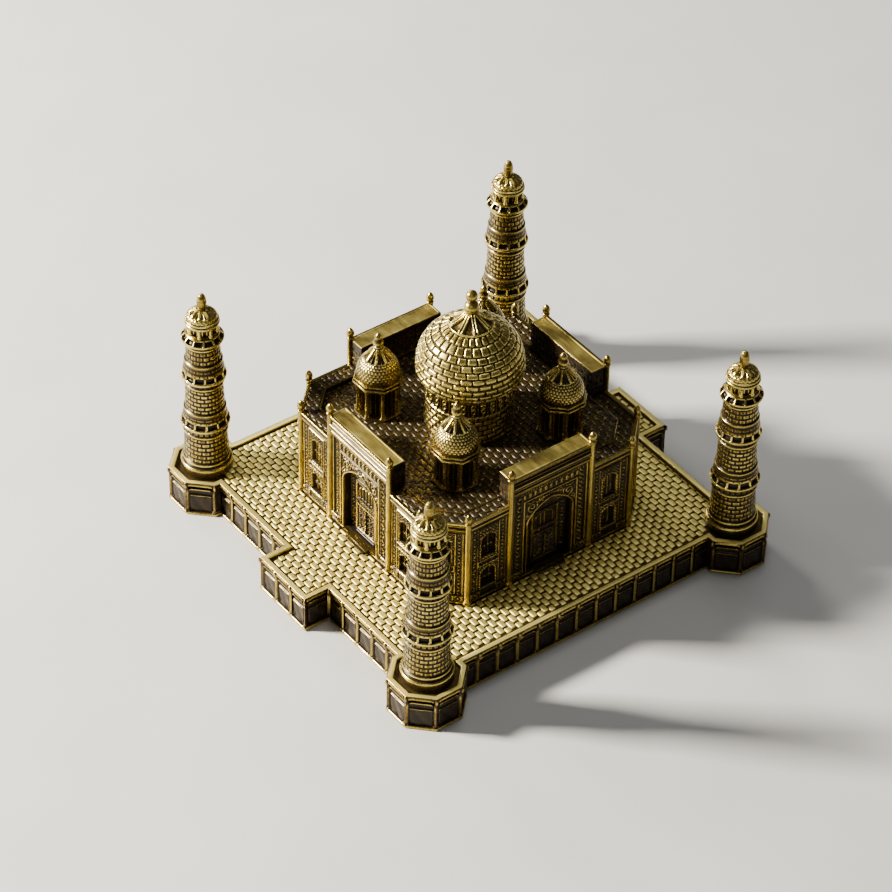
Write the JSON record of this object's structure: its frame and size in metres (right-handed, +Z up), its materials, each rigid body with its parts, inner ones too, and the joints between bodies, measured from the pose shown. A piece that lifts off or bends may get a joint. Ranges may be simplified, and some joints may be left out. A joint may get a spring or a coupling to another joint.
{
  "type": "miniature landmark model",
  "caption": "Antique-brass tabletop model of a domed mausoleum on a square plinth, with corner towers, roof kiosks and arched portals.",
  "frame": {"origin": "on the table, under the middle of the dome", "axes": "+Z up the dome's axis; -Y is the front wall with its bay; X runs along the front"},
  "size_m": [0.1202, 0.1204, 0.0789],
  "materials": {
    "antique_brass": "antiqued, dark patina in the recesses and rubbed brass on raised edges",
    "dark_brass": "antiqued, mostly dark patina with rubbed edges",
    "steel": "zinc plated",
    "felt": "pressed felt"
  },
  "bodies": {
    "root": {"plinth": "antique_brass", "base_cover": "steel", "base_felt": "felt", "cover_screws": "steel", "hall_body": "dark_brass", "hall_screws": "steel", "portal_screws": "steel", "roof_plate": "dark_brass", "portal_front": "dark_brass", "portal_back": "dark_brass", "portal_left": "dark_brass", "portal_right": "dark_brass", "drum": "antique_brass", "dome": "antique_brass", "dome_finial": "antique_brass", "tie_rod": "steel", "tie_washer": "steel", "tie_nut": "steel", "kiosk_front_left": "dark_brass", "kiosk_front_right": "dark_brass", "kiosk_back_left": "dark_brass", "kiosk_back_right": "dark_brass", "kiosk_dome_front_left": "antique_brass", "kiosk_dome_front_right": "antique_brass", "kiosk_dome_back_left": "antique_brass", "kiosk_dome_back_right": "antique_brass", "kiosk_screws": "steel", "minaret_front_left": "antique_brass", "minaret_front_right": "antique_brass", "minaret_back_left": "antique_brass", "minaret_back_right": "antique_brass", "minaret_cap_front_left": "antique_brass", "minaret_cap_front_right": "antique_brass", "minaret_cap_back_left": "antique_brass", "minaret_cap_back_right": "antique_brass", "minaret_screws": "steel"}
  },
  "joints": []
}
